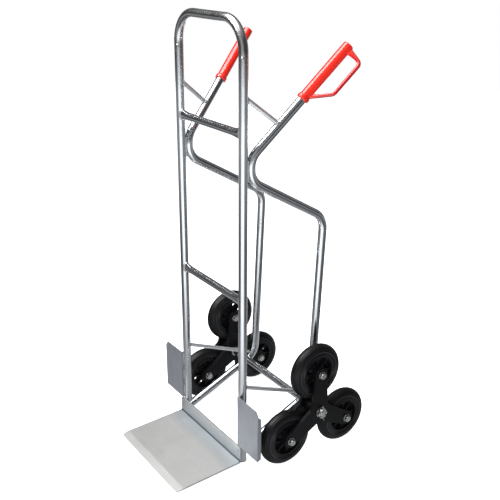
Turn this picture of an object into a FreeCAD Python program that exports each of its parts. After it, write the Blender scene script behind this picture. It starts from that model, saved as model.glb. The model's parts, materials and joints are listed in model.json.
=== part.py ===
import FreeCAD, Part
import math
import os

from FreeCAD import Vector

# Stair climbing trolley: an aluminium tube frame with a toe plate, and on each side a
# three-armed star that carries three solid rubber wheels.
# Everything below is laid out with X to the trolley's right, Y to its back, Z up, and
# Y = 0 on the uprights' axes.  save() then moves it back by upright_shift, so that the
# written origin is on the floor under the middle of the whole trolley's box.

# ---- frame tubes ----
tube_d = 25.4
tube_wall = 2.0
upright_x = 160.0              # each upright's distance from the middle plane
height = 1319.7                # floor to the top of the loop
loop_bend_r = 82.0             # centreline
loop_joint_z = 1197.0          # where the loop meets the uprights
sleeve_length = 54.0           # half in the loop's leg, half in the upright
sleeve_wall = 2.0
upper_bar_z = 1020.0
middle_bar_z = 541.0
crossbar_d = 22.0
fit_gap = 0.05                 # radial clearance between pieces that slide or are plugged in
tiny = 0.01                    # tolerance when edges are picked by their place
foot_z = 5.0                   # underside of the plugs in the feet of the uprights
foot_flange = 3.0
plug_depth = 16.0
plug_wall = 2.5

# ---- side frames: one bent tube each, from the grip to the foot of the upright ----
frame_bend_r = 60.0
grip_end = Vector(230.0, 288.0, 1236.0)
contact_top_z = 954.0          # the tube runs along the back of the upright up to here
contact_low_z = 890.0
rear_corner = Vector(153.0, 292.0, 736.0)
heel_corner_y = 268.5          # the lower corner, behind the axle
foot_end = Vector(153.0, 0.0, 35.5)

# ---- struts ----
handle_strut_d = 13.0
handle_strut_top_z = 1119.0
handle_strut_share = 0.295     # where it meets the handle, from contact to grip end
axle_strut_d = 12.0
axle_strut_top_z = 263.0
axle_strut_end = Vector(158.0, 232.0, 166.0)
strut_tab_length = 20.0
strut_tab_width = 16.0
strut_tab_t = 4.0
strut_tab_lap = 8.0            # how far the tab runs back over the rod
strut_wall = 1.5
strut_closed_end = 4.0         # the axle strut's tube is flattened shut over this length

# ---- toe plate and wing plates ----
toe_half_width = 175.0
toe_front_y = -242.0
toe_t = 5.0
toe_rise = 9.0                 # underside at the fold, above the floor
toe_bevel = 24.0               # flat bevel along the front edge
toe_edge_t = 2.2
lip_top_z = 63.0
fold_inner_r = 4.0
toe_corner_r = 10.0
lip_corner_r = 6.0
lip_rivet_z = 44.0
wing_inner_x = 162.0
wing_outer_x = 266.0
wing_front_y = -20.0
wing_low_z = 69.0
wing_top_z = 238.0
wing_t = 3.5
wing_flange_y = -7.0           # the back edge of the outer flange, clear of the turning star
wing_chamfer = 16.0            # drop of the cut top outer corner
wing_chamfer_run = 11.2
wing_slope = 2.0               # fall of the top edge, inside to chamfer
wing_flange_rise = 4.0         # slant of the flange's lower end
wing_flange_fall = 10.0        # slant of its upper end

# ---- wheels, stars and axle ----
wheel_r = 89.0
wheel_width = 40.0
tyre_crown = 20.0              # depth of the round crown
rim_r = 54.0
star_r = 128.0                 # hub axis to wheel axis
low_arm_angle = 30.0           # the two lower arms' fall below level
wheel_mid_x = 231.5
axle_y = 217.2
axle_tube_d = 22.0
axle_tube_half = 166.0
rod_r = 9.0
rod_half = 280.0
rod_chamfer = 1.5
web_inside = 29.5              # star web faces, from the wheel's mid plane
web_t = 3.0
flange_depth = 8.0             # star flange, towards the wheel
star_hub_r = 33.0
star_root_half = 31.0          # half width of an arm at the hub axis, tapering to its round end
star_end_r = 22.0
star_fillet_r = 26.0
hub_tube_r = 19.0
hub_proud = 1.0                # the hub tube stands this far outside each web
sleeve_r = 8.0                 # spacer sleeve round each wheel bolt
bolt_r = 6.0
bush_r = 11.0
bush_end_gap = 0.3
rim_hub_r = 18.0
rim_window_count = 8
nut_flats = 19.0
nut_t = 8.0
nut_cone_inset = 0.3           # the chamfer cone's radius inside the flats, at the outer face
nut_cone_flare = 9.0           # and outside them at the inner face
bolt_proud = 2.0
washer_t = 1.5
castle_flats = 30.0
castle_t = 11.5
castle_cone_inset = 0.5
castle_cone_flare = 5.5

# ---- fasteners ----
rivet_hole_r = 2.5
rivet_shank_r = 2.45
rivet_tail = 2.0               # a rivet's shank reaches this far past the walls it joins
rivet_dome_ratio = 1.3         # sphere radius of a domed head to the head's own radius
rivet_angle = 45.0             # upper loop rivets face forward and right, lower ones opposite
rivet_spacing = 36.0           # between each upright's two, half of it above the joint
loop_rivet_head_r = 4.2
lip_rivet_head_r = 5.0
rivet_reach = 30.0             # length of a drilled cutter
tab_screw_r = 2.5
tab_screw_head_r = 4.5
tab_screw_head_t = 3.0
tab_screw_along = 6.0          # from the strut's end to the screw
tab_screw_tail = 1.6           # how far the screw reaches below the tab
washer_r = 12.0
spacer_r = 13.0
thrust_washer_r = 17.0
thrust_washer_t = 2.5
castle_slot_w = 4.2
castle_slot_depth = 5.0
split_pin_r = 1.8
split_pin_hole_r = 1.9
split_pin_inset = 2.8          # below the castle nut's outer face
split_pin_low = 15.5           # length of the pin below the axis
split_pin_high = 17.0          # and above it, up to the eye
split_pin_tail_out = 7.0       # the bent leg's reach outwards and down
split_pin_tail_down = 4.5
split_pin_eye_r = 3.6
split_pin_wire_r = 1.5

# ---- grips ----
grip_length = 189.0
grip_d = 30.0
grip_collar_d = 35.0
grip_collar_length = 12.0
grip_collar_fillet = 1.8
grip_end_fillet = 3.5
grip_bore_depth = 181.0
guard_reach = Vector(48.2, 17.0, -27.8)   # from the grip's axis to the guard bar's
guard_bar_r = 5.5
guard_low = 62.0               # along the grip, where the guard bar starts
guard_high = 166.0
guard_bend_r = 14.0
guard_root = 6.5               # where the guard leaves the grip's axis, from either end

# ---- wheel rims ----
barrel_t = 5.0
barrel_inset = 1.0             # the barrel's edges stand in from the tyre's sides
rim_web_half = 3.5
rim_rib_half = 13.0
rim_rib_t = 4.0
rim_overlap = 1.0              # ribs and web run this far into the barrel and hub
window_outer_r = 42.0
window_inner_r = 26.0
window_gap = 9.0               # degrees from a rib's middle to a window's edge
hub_gap = 1.0                  # the rim's hub stops this far short of each star web

# ---- worked out from the above ----
tube_r = tube_d / 2
axle_z = wheel_r + star_r * math.sin(math.radians(low_arm_angle))
star_reach = star_r * math.cos(math.radians(low_arm_angle)) + wheel_r
loop_z = height - tube_r
upright_shift = (-toe_front_y - axle_y - star_reach) / 2
contact_y = tube_d + fit_gap
X_AXIS = Vector(1, 0, 0)
Y_AXIS = Vector(0, 1, 0)
Z_AXIS = Vector(0, 0, 1)


def mirrored(shape):
    return shape.mirror(Vector(0, 0, 0), X_AXIS)


def save(name, shape):
    """Write one node, moved so that the origin is under the middle of the trolley."""
    moved = shape.copy()
    moved.translate(Vector(0, upright_shift, 0))
    moved.exportStep(os.path.join("parts", name + ".step"))


def save_pair(name, right_shape):
    save("right_" + name, right_shape)
    save("left_" + name, mirrored(right_shape))


def rod_between(start, end, radius):
    along = end - start
    return Part.makeCylinder(radius, along.Length, start, along)


def disc(x0, x1, radius, y=0.0, z=0.0):
    """A round solid along X between two values of x."""
    return Part.makeCylinder(radius, x1 - x0, Vector(x0, y, z), X_AXIS)


def hexagon(x0, x1, flats, y, z):
    """A hexagonal prism along X."""
    corner = flats / math.sqrt(3)
    points = []
    for k in range(7):
        turn = math.radians(60 * k)
        points.append(Vector(x0, y + corner * math.cos(turn), z + corner * math.sin(turn)))
    return Part.Face(Part.makePolygon(points)).extrude(Vector(x1 - x0, 0, 0))


def bent_wire(corners, bend_r):
    """Straight runs joined by tangent arcs of one radius."""
    edges = []
    start = corners[0]
    for before, corner, after in zip(corners, corners[1:], corners[2:]):
        into = (corner - before).normalize()
        out = (after - corner).normalize()
        turn = into.getAngle(out)
        cut = bend_r * math.tan(turn / 2)
        inward = (out - into).normalize()
        arc_start = corner - into * cut
        arc_end = corner + out * cut
        arc_mid = corner + inward * (bend_r / math.cos(turn / 2) - bend_r)
        edges.append(Part.LineSegment(start, arc_start).toShape())
        edges.append(Part.Arc(arc_start, arc_mid, arc_end).toShape())
        start = arc_end
    edges.append(Part.LineSegment(start, corners[-1]).toShape())
    return Part.Wire(edges)


def swept(corners, bend_r, radius):
    """A solid round bar along a bent wire."""
    circle = Part.Circle(corners[0], corners[1] - corners[0], radius)
    return bent_wire(corners, bend_r).makePipeShell([Part.Wire(circle.toShape())], True, False)


def bent_tube(corners, bend_r, outer_d, wall):
    outer = swept(corners, bend_r, outer_d / 2)
    inner = swept(corners, bend_r, outer_d / 2 - wall)
    return outer.cut(inner)


def upright_body():
    """The space that the right upright takes, used to cope what is welded to it."""
    return rod_between(Vector(upright_x, 0, 0), Vector(upright_x, 0, loop_joint_z), tube_r)


# ---------------------------------------------------------------- frame


def rivet_places():
    """Centre and outward direction of each loop rivet: two on each upright, back to back."""
    turn = math.radians(rivet_angle)
    outward = Vector(math.sin(turn), -math.cos(turn), 0)
    places = []
    for side in (-1, 1):
        for way in (-1, 1):
            z = loop_joint_z + way * rivet_spacing / 2
            places.append((Vector(side * upright_x, 0, z), outward * way))
    return places


def rivet_holes():
    holes = []
    for centre, outward in rivet_places():
        holes.append(rod_between(centre, centre + outward * rivet_reach, rivet_hole_r))
    return Part.makeCompound(holes)


def lip_rivet_hole(side):
    centre = Vector(side * upright_x, 0, lip_rivet_z)
    return rod_between(centre, centre - Y_AXIS * rivet_reach, rivet_hole_r)


def upright(side):
    foot = Vector(side * upright_x, 0, foot_z + foot_flange)
    top = Vector(side * upright_x, 0, loop_joint_z)
    tube = rod_between(foot, top, tube_r).cut(rod_between(foot, top, tube_r - tube_wall))
    return tube.cut(rivet_holes()).cut(lip_rivet_hole(side))


def top_loop():
    corners = [Vector(-upright_x, 0, loop_joint_z), Vector(-upright_x, 0, loop_z),
               Vector(upright_x, 0, loop_z), Vector(upright_x, 0, loop_joint_z)]
    return bent_tube(corners, loop_bend_r, tube_d, tube_wall).cut(rivet_holes())


def loop_sleeves():
    radius = tube_r - tube_wall - fit_gap
    sleeves = []
    for side in (-1, 1):
        low = Vector(side * upright_x, 0, loop_joint_z - sleeve_length / 2)
        high = Vector(side * upright_x, 0, loop_joint_z + sleeve_length / 2)
        tube = rod_between(low, high, radius).cut(rod_between(low, high, radius - sleeve_wall))
        sleeves.append(tube.cut(rivet_holes()))
    return Part.makeCompound(sleeves)


def domed_rivet(centre, outward, surface, head_r, depth):
    """A rivet whose dome stands on a surface at the given distance from the centre."""
    shank = rod_between(centre + outward * (surface - depth), centre + outward * surface,
                        rivet_shank_r)
    ball_r = rivet_dome_ratio * head_r
    ball_drop = math.sqrt(ball_r ** 2 - head_r ** 2)
    ball = Part.makeSphere(ball_r, centre + outward * (surface - ball_drop))
    above = rod_between(centre + outward * surface, centre + outward * (surface + ball_r), ball_r)
    return shank.fuse(ball.common(above)).removeSplitter()


def loop_rivets():
    through = tube_wall + sleeve_wall + rivet_tail
    rivets = []
    for centre, outward in rivet_places():
        rivets.append(domed_rivet(centre, outward, tube_r, loop_rivet_head_r, through))
    return Part.makeCompound(rivets)


def foot_plugs():
    spigot_r = tube_r - tube_wall - fit_gap
    plugs = []
    for side in (-1, 1):
        base = Vector(side * upright_x, 0, foot_z)
        shoulder = base + Z_AXIS * foot_flange
        top = shoulder + Z_AXIS * plug_depth
        plug = rod_between(base, shoulder, tube_r).fuse(rod_between(base, top, spigot_r))
        plugs.append(plug.cut(rod_between(shoulder, top, spigot_r - plug_wall)).removeSplitter())
    return Part.makeCompound(plugs)


def crossbar(z):
    """A straight tube between the uprights, its ends coped round them."""
    reach = upright_x - tube_r / 2
    bar = disc(-reach, reach, crossbar_d / 2, 0, z)
    bar = bar.cut(disc(-reach, reach, crossbar_d / 2 - tube_wall, 0, z))
    return bar.cut(upright_body()).cut(mirrored(upright_body()))


def toe_profile_z(y, level):
    """Height of the plate's underside (level 0) or top (level 1) at depth y."""
    slope = toe_rise / (-tube_r - toe_front_y)
    return slope * (y - toe_front_y) + level * toe_t


def toe_plate():
    """The load plate and its upright lip, bent from one sheet, with a bevelled front."""
    lip_front = -tube_r - toe_t
    bevel_y = toe_front_y + toe_bevel
    points = [Vector(0, -tube_r, lip_top_z), Vector(0, lip_front, lip_top_z),
              Vector(0, lip_front, toe_profile_z(lip_front, 1)),
              Vector(0, bevel_y, toe_profile_z(bevel_y, 1)),
              Vector(0, toe_front_y, toe_edge_t), Vector(0, toe_front_y, 0),
              Vector(0, -tube_r, toe_rise)]
    section = Part.Face(Part.makePolygon(points + points[:1]))
    section.translate(Vector(-toe_half_width, 0, 0))
    plate = section.extrude(Vector(2 * toe_half_width, 0, 0))
    inner = [e for e in plate.Edges if is_fold(e, points[2])]
    plate = plate.makeFillet(fold_inner_r, inner)
    outer = [e for e in plate.Edges if is_fold(e, points[6])]
    plate = plate.makeFillet(fold_inner_r + toe_t, outer)
    front = [e for e in plate.Edges if is_front_corner(e)]
    plate = plate.makeFillet(toe_corner_r, front)
    corners = [e for e in plate.Edges if is_lip_corner(e)]
    plate = plate.makeFillet(lip_corner_r, corners)
    return plate.cut(lip_rivet_hole(-1)).cut(lip_rivet_hole(1))


def is_fold(edge, point):
    middle = edge.CenterOfMass
    near = abs(middle.y - point.y) < tiny and abs(middle.z - point.z) < tiny
    return near and edge.Length > toe_half_width


def is_front_corner(edge):
    low, high = edge.BoundBox.ZMin, edge.BoundBox.ZMax
    at_front = abs(edge.CenterOfMass.y - toe_front_y) < tiny
    return at_front and high - low > toe_edge_t / 2 and edge.BoundBox.XLength < tiny


def is_lip_corner(edge):
    middle = edge.CenterOfMass
    runs_back = edge.BoundBox.YLength > toe_t / 2 and edge.BoundBox.XLength < tiny
    return runs_back and abs(middle.z - lip_top_z) < tiny and edge.BoundBox.ZLength < tiny


def lip_rivets():
    through = toe_t + tube_wall + rivet_tail
    rivets = []
    for side in (-1, 1):
        centre = Vector(side * upright_x, 0, lip_rivet_z)
        rivets.append(domed_rivet(centre, -Y_AXIS, tube_r + toe_t, lip_rivet_head_r, through))
    return Part.makeCompound(rivets)


def slab(points, thickness):
    """A closed flat outline given a thickness along one vector."""
    return Part.Face(Part.makePolygon(points + points[:1])).extrude(thickness)


def wing_plate():
    """The flat guard beside the upright: outer flange turned back, inner edge to the tube."""
    front = wing_front_y
    shoulder_x = wing_outer_x - wing_chamfer_run
    shoulder_z = wing_top_z - wing_chamfer
    sheet = slab([Vector(wing_inner_x, front, wing_low_z), Vector(wing_outer_x, front, wing_low_z),
                  Vector(wing_outer_x, front, shoulder_z),
                  Vector(shoulder_x, front, wing_top_z - wing_slope),
                  Vector(wing_inner_x, front, wing_top_z)], Y_AXIS * wing_t)
    inside = wing_outer_x - wing_t
    flange = slab([Vector(inside, front, wing_low_z),
                   Vector(inside, wing_flange_y, wing_low_z + wing_flange_rise),
                   Vector(inside, wing_flange_y, shoulder_z - wing_flange_fall),
                   Vector(inside, front, shoulder_z)], X_AXIS * wing_t)
    web = slab([Vector(wing_inner_x, front, wing_low_z), Vector(wing_inner_x, 0, wing_low_z),
                Vector(wing_inner_x, 0, wing_top_z), Vector(wing_inner_x, front, wing_top_z)],
               X_AXIS * wing_t)
    return sheet.fuse([flange, web]).cut(upright_body()).removeSplitter()


# ---------------------------------------------------------------- side frames


def heel_corner():
    """The lower corner: the leg from the foot just clears the underside of the axle tube."""
    rise_y = axle_y - foot_end.y
    rise_z = axle_z - foot_end.z
    reach = math.hypot(rise_y, rise_z)
    apart = tube_r + axle_tube_d / 2 + fit_gap
    slope = math.tan(math.atan2(rise_z, rise_y) - math.asin(apart / reach))
    return Vector(foot_end.x, heel_corner_y, foot_end.z + slope * heel_corner_y)


def side_frame_corners():
    return [grip_end, Vector(upright_x, contact_y, contact_top_z),
            Vector(upright_x, contact_y, contact_low_z), rear_corner, heel_corner(), foot_end]


def handle_direction():
    corners = side_frame_corners()
    return (corners[0] - corners[1]).normalize()


def side_frame():
    """One tube: handle, the run along the upright, the slope, the back leg and the foot."""
    corners = side_frame_corners()
    corners[0] = grip_end - handle_direction() * (grip_length - grip_bore_depth)
    return bent_tube(corners, frame_bend_r, tube_d, tube_wall).cut(upright_body())


def handle_strut():
    contact, end = side_frame_corners()[1], grip_end
    meets = contact + (end - contact) * handle_strut_share
    top = Vector(upright_x, 0, handle_strut_top_z)
    strut = rod_between(top, meets, handle_strut_d / 2)
    strut = strut.cut(rod_between(top, meets, handle_strut_d / 2 - strut_wall))
    strut = strut.cut(upright_body())
    return strut.cut(rod_between(contact, end, tube_r))


def axle_strut():
    """The thin brace from the upright back over the axle, ending in a screwed flat tab."""
    top = Vector(upright_x, 0, axle_strut_top_z)
    along = (axle_strut_end - top).normalize()
    bar = rod_between(top, axle_strut_end, axle_strut_d / 2)
    hollow_end = axle_strut_end - along * strut_closed_end
    bar = bar.cut(rod_between(top, hollow_end, axle_strut_d / 2 - strut_wall))
    bar = bar.cut(upright_body())
    tab = Part.makeBox(strut_tab_length + strut_tab_lap, strut_tab_width, strut_tab_t)
    tab.translate(Vector(-strut_tab_lap, -strut_tab_width / 2, -strut_tab_t / 2))
    tab.rotate(Vector(0, 0, 0), Y_AXIS, math.degrees(math.asin(-along.z)))
    tab.rotate(Vector(0, 0, 0), Z_AXIS, math.degrees(math.atan2(along.y, along.x)))
    tab.translate(axle_strut_end)
    frame_space = swept(side_frame_corners()[2:], frame_bend_r, tube_r + fit_gap)
    return bar.fuse(tab).cut(frame_space).cut(tab_screw_hole())


def tab_screw_axis():
    """Start and direction of the screw that holds the tab to the bend of the side frame."""
    top = Vector(upright_x, 0, axle_strut_top_z)
    along = (axle_strut_end - top).normalize()
    start = axle_strut_end + along * tab_screw_along
    across = Z_AXIS.cross(along).normalize()
    return start, along.cross(across)


def tab_screw_hole():
    start, heading = tab_screw_axis()
    reach = heading * strut_tab_t
    return rod_between(start - reach, start + reach, tab_screw_r + fit_gap)


def tab_screw():
    start, heading = tab_screw_axis()
    seat = start + heading * (strut_tab_t / 2)
    head = rod_between(seat, seat + heading * tab_screw_head_t, tab_screw_head_r)
    shank_end = seat - heading * (strut_tab_t + tab_screw_tail)
    shank = rod_between(shank_end, seat + heading, tab_screw_r)
    return head.fuse(shank).removeSplitter()


# ---------------------------------------------------------------- grips


def grip():
    """A moulded sleeve with a flared collar, a domed end and a knuckle guard."""
    along = handle_direction()
    start = grip_end - along * grip_length
    body = rod_between(start, grip_end, grip_d / 2)
    body = body.makeFillet(grip_end_fillet, round_edges_at(body, grip_end, along))
    collar = rod_between(start, start + along * grip_collar_length, grip_collar_d / 2)
    round_edges = [e for e in collar.Edges if e.Length > grip_collar_d]
    collar = collar.makeFillet(grip_collar_fillet, round_edges)
    reach = guard_reach - along * guard_reach.dot(along)
    corners = [start + along * guard_root, start + along * guard_low + reach,
               start + along * guard_high + reach, grip_end - along * guard_root]
    guard = swept(corners, guard_bend_r, guard_bar_r)
    shell = body.fuse([collar, guard]).removeSplitter()
    return shell.cut(rod_between(start, start + along * grip_bore_depth, tube_r + fit_gap))


def round_edges_at(body, point, along):
    """The round edges of a bar that lie in the plane through a point, square to its run."""
    return [e for e in body.Edges
            if abs((e.CenterOfMass - point).dot(along)) < tiny and e.Length > grip_d]


# ---------------------------------------------------------------- axle


def axle_tube():
    whole = disc(-axle_tube_half, axle_tube_half, axle_tube_d / 2, axle_y, axle_z)
    return whole.cut(disc(-axle_tube_half, axle_tube_half, rod_r + fit_gap, axle_y, axle_z))


def axle_rod():
    """The solid axle, chamfered at both ends and drilled across for the split pins."""
    rod = disc(-rod_half, rod_half, rod_r, axle_y, axle_z)
    ends = [e for e in rod.Edges if abs(abs(e.CenterOfMass.x) - rod_half) < tiny]
    rod = rod.makeChamfer(rod_chamfer, ends)
    for side in (-1, 1):
        rod = rod.cut(split_pin_hole(side))
    return rod


def castle_x():
    """Inner face of the castle nut: past the star's outer web, hub end and washer."""
    return hub_outer_x() + fit_gap + thrust_washer_t


def split_pin_x():
    return castle_x() + castle_t - split_pin_inset


def split_pin_hole(side):
    low = Vector(side * split_pin_x(), axle_y, axle_z - castle_flats)
    return rod_between(low, low + Z_AXIS * 2 * castle_flats, split_pin_hole_r)


def ring(x0, x1, r_out, r_in, y, z):
    return disc(x0, x1, r_out, y, z).cut(disc(x0, x1, r_in, y, z))


def hub_spacers():
    """Tubes on the rod that hold each star off the frame, with their thrust washers."""
    outer_x = hub_inner_x() - fit_gap
    inner_x = outer_x - thrust_washer_t
    spacer = ring(axle_tube_half, inner_x, spacer_r, rod_r + fit_gap, axle_y, axle_z)
    washer = ring(inner_x, outer_x, thrust_washer_r, rod_r + fit_gap, axle_y, axle_z)
    right = spacer.fuse(washer).removeSplitter()
    return Part.makeCompound([right, mirrored(right)])


def hub_inner_x():
    return wheel_mid_x - web_inside - web_t - hub_proud


def hub_outer_x():
    return wheel_mid_x + web_inside + web_t + hub_proud


def hub_washers():
    right = ring(hub_outer_x() + fit_gap, castle_x(), thrust_washer_r, rod_r + fit_gap,
                 axle_y, axle_z)
    return Part.makeCompound([right, mirrored(right)])


def castle_nuts():
    x0 = castle_x()
    nut = hexagon(x0, x0 + castle_t, castle_flats, axle_y, axle_z)
    limit = Part.makeCone(castle_flats / 2 + castle_cone_flare, castle_flats / 2 - castle_cone_inset,
                          castle_t, Vector(x0, axle_y, axle_z), X_AXIS)
    nut = nut.common(limit).cut(disc(x0, x0 + castle_t, rod_r + fit_gap, axle_y, axle_z))
    for k in range(3):
        slot = Part.makeBox(castle_slot_depth, 2 * castle_flats, castle_slot_w)
        slot.translate(Vector(x0 + castle_t - castle_slot_depth, -castle_flats, -castle_slot_w / 2))
        slot.rotate(Vector(0, 0, 0), X_AXIS, 90 + 60 * k)
        slot.translate(Vector(0, axle_y, axle_z))
        nut = nut.cut(slot)
    return Part.makeCompound([nut, mirrored(nut)])


def split_pins():
    """A straight shank through the rod, with an eye above it and one leg bent outwards."""
    pins = []
    for side in (-1, 1):
        middle = Vector(side * split_pin_x(), axle_y, axle_z)
        knee_at = middle - Z_AXIS * split_pin_low
        eye_at = middle + Z_AXIS * (split_pin_high + split_pin_eye_r)
        shank = rod_between(knee_at, eye_at - Z_AXIS * split_pin_eye_r, split_pin_r)
        eye = Part.makeTorus(split_pin_eye_r, split_pin_wire_r, eye_at, Y_AXIS)
        tail_end = knee_at + Vector(side * split_pin_tail_out, 0, -split_pin_tail_down)
        tail = rod_between(knee_at, tail_end, split_pin_wire_r)
        knee = Part.makeSphere(split_pin_r, knee_at)
        pins.append(shank.fuse([eye, tail, knee]).removeSplitter())
    return Part.makeCompound(pins)


# ---------------------------------------------------------------- stars


def wheel_places():
    """Centres of the three wheels of the right star in Y and Z, with the arm's angle."""
    places = []
    arms = (("upper", 90.0), ("front", 180.0 + low_arm_angle), ("rear", 360.0 - low_arm_angle))
    for name, angle in arms:
        turn = math.radians(angle)
        places.append((name, angle, axle_y + star_r * math.cos(turn), axle_z + star_r * math.sin(turn)))
    return places


def star_outline(inset, x0, thickness):
    """The three-armed shape, drawn smaller by inset, as a slab from x0."""
    star = disc(x0, x0 + thickness, star_hub_r - inset, axle_y, axle_z)
    for _, angle, y, z in wheel_places():
        root, end = star_root_half - inset, star_end_r - inset
        arm = slab([Vector(x0, 0, -root), Vector(x0, star_r, -end), Vector(x0, star_r, end),
                    Vector(x0, 0, root)], X_AXIS * thickness)
        arm.rotate(Vector(0, 0, 0), X_AXIS, angle)
        arm.translate(Vector(0, axle_y, axle_z))
        star = star.fuse([arm, disc(x0, x0 + thickness, end, y, z)])
    star = star.removeSplitter()
    notches = [e for e in star.Edges if is_notch(e, thickness)]
    return star.makeFillet(star_fillet_r + inset, notches)


def is_notch(edge, thickness):
    """The straight edges along X near the hub, where two arms meet."""
    if abs(edge.BoundBox.XLength - thickness) > tiny or edge.BoundBox.YLength > tiny:
        return False
    middle = edge.CenterOfMass
    return math.hypot(middle.y - axle_y, middle.z - axle_z) < star_r / 2


def star_plate(inner):
    """A pressed tray: a flat web with a flange round its edge, turned towards the wheels."""
    if inner:
        low = wheel_mid_x - web_inside - web_t
        tray_x, hollow_x = low, low + web_t
    else:
        low = wheel_mid_x + web_inside
        tray_x, hollow_x = low - flange_depth, low - flange_depth
    tray = star_outline(0.0, tray_x, web_t + flange_depth)
    tray = tray.cut(star_outline(web_t, hollow_x, flange_depth))
    tray = tray.cut(disc(low, low + web_t, hub_tube_r + fit_gap, axle_y, axle_z))
    for _, _, y, z in wheel_places():
        tray = tray.cut(disc(low, low + web_t, bolt_r + fit_gap, y, z))
    return tray


def star_hub():
    return ring(hub_inner_x(), hub_outer_x(), hub_tube_r, rod_r + fit_gap, axle_y, axle_z)


def spacer_sleeves():
    low, high = wheel_mid_x - web_inside, wheel_mid_x + web_inside
    return Part.makeCompound([ring(low, high, sleeve_r, bolt_r + fit_gap, y, z)
                              for _, _, y, z in wheel_places()])


def chamfered_hexagon(x0, x1, flats, y, z, outward):
    """A hexagon along X whose corners are cut back on the face that looks outward."""
    narrow, wide = flats / 2 - nut_cone_inset, flats / 2 + nut_cone_flare
    radii = (wide, narrow) if outward > 0 else (narrow, wide)
    return hexagon(x0, x1, flats, y, z).common(
        Part.makeCone(radii[0], radii[1], x1 - x0, Vector(x0, y, z), X_AXIS))


def wheel_bolts():
    """Hexagon bolts from the inner side of the star."""
    outside = web_inside + web_t + washer_t
    under_head = wheel_mid_x - outside
    bolts = []
    for _, _, y, z in wheel_places():
        head = chamfered_hexagon(under_head - nut_t, under_head, nut_flats, y, z, -1)
        shank = disc(under_head, wheel_mid_x + outside + nut_t + bolt_proud, bolt_r, y, z)
        bolts.append(head.fuse(shank).removeSplitter())
    return Part.makeCompound(bolts)


def wheel_nuts():
    """Each bolt's nut and outer washer in one solid, and the loose washer under its head."""
    web_x = wheel_mid_x + web_inside + web_t
    seat_x = web_x + washer_t
    far_x = wheel_mid_x - web_inside - web_t
    nuts = []
    for _, _, y, z in wheel_places():
        nut = chamfered_hexagon(seat_x, seat_x + nut_t, nut_flats, y, z, 1)
        stack = disc(web_x, seat_x, washer_r, y, z).fuse(nut)
        stack = stack.cut(disc(web_x, seat_x + nut_t, bolt_r + fit_gap, y, z))
        nuts.append(stack.removeSplitter())
        nuts.append(ring(far_x - washer_t, far_x, washer_r, bolt_r + fit_gap, y, z))
    return Part.makeCompound(nuts)


# ---------------------------------------------------------------- wheels


def turned(profile, y, z):
    """Turn a closed profile of (x, r) points or arcs about the wheel axis."""
    face = Part.Face(Part.Wire(profile))
    solid = face.revolve(Vector(0, 0, 0), X_AXIS, 360)
    solid.translate(Vector(wheel_mid_x, y, z))
    return solid


def at(x, r):
    return Vector(x, 0, r)


def tyre(y, z):
    """A solid rubber tyre with a round crown and a stepped sidewall."""
    half = wheel_width / 2
    seat = rim_r + fit_gap
    wall_r = wheel_r - tyre_crown
    line = Part.LineSegment
    profile = [line(at(-half, seat), at(half, seat)).toShape(),
               line(at(half, seat), at(half, wall_r)).toShape(),
               Part.Arc(at(half, wall_r), at(0, wheel_r), at(-half, wall_r)).toShape(),
               line(at(-half, wall_r), at(-half, seat)).toShape()]
    return turned(profile, y, z)


def rim_window(start_angle):
    """The space of one window through the rim's web, between two ribs."""
    stop_angle = start_angle + 360.0 / rim_window_count
    after = Part.makeBox(2 * rim_web_half, rim_r, rim_r, Vector(-rim_web_half, 0, 0))
    before = after.copy()
    after.rotate(Vector(0, 0, 0), X_AXIS, start_angle + window_gap)
    before.rotate(Vector(0, 0, 0), X_AXIS, stop_angle - window_gap - 90.0)
    band = ring(-rim_web_half, rim_web_half, window_outer_r, window_inner_r, 0, 0)
    return band.common(after).common(before)


def rim_rib(angle):
    depth = rim_r - barrel_t - rim_hub_r + 2 * rim_overlap
    rib = Part.makeBox(2 * rim_rib_half, depth, rim_rib_t,
                       Vector(-rim_rib_half, rim_hub_r - rim_overlap, -rim_rib_t / 2))
    rib.rotate(Vector(0, 0, 0), X_AXIS, angle)
    return rib


def rim(y, z):
    """A moulded rim: barrel, ribbed web with windows, and a long hub."""
    half = wheel_width / 2 - barrel_inset
    barrel = ring(-half, half, rim_r, rim_r - barrel_t, 0, 0)
    web = disc(-rim_web_half, rim_web_half, rim_r - rim_overlap)
    hub = disc(hub_gap - web_inside, web_inside - hub_gap, rim_hub_r)
    angles = [360.0 * k / rim_window_count for k in range(rim_window_count)]
    solid = barrel.fuse([web, hub] + [rim_rib(a) for a in angles]).removeSplitter()
    solid = solid.cut([rim_window(a) for a in angles])
    solid = solid.cut(disc(-web_inside, web_inside, bush_r + fit_gap))
    solid.translate(Vector(wheel_mid_x, y, z))
    return solid


def bush(y, z):
    half = web_inside - bush_end_gap
    return ring(wheel_mid_x - half, wheel_mid_x + half, bush_r, sleeve_r + fit_gap, y, z)


# ---------------------------------------------------------------- the nodes


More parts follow.
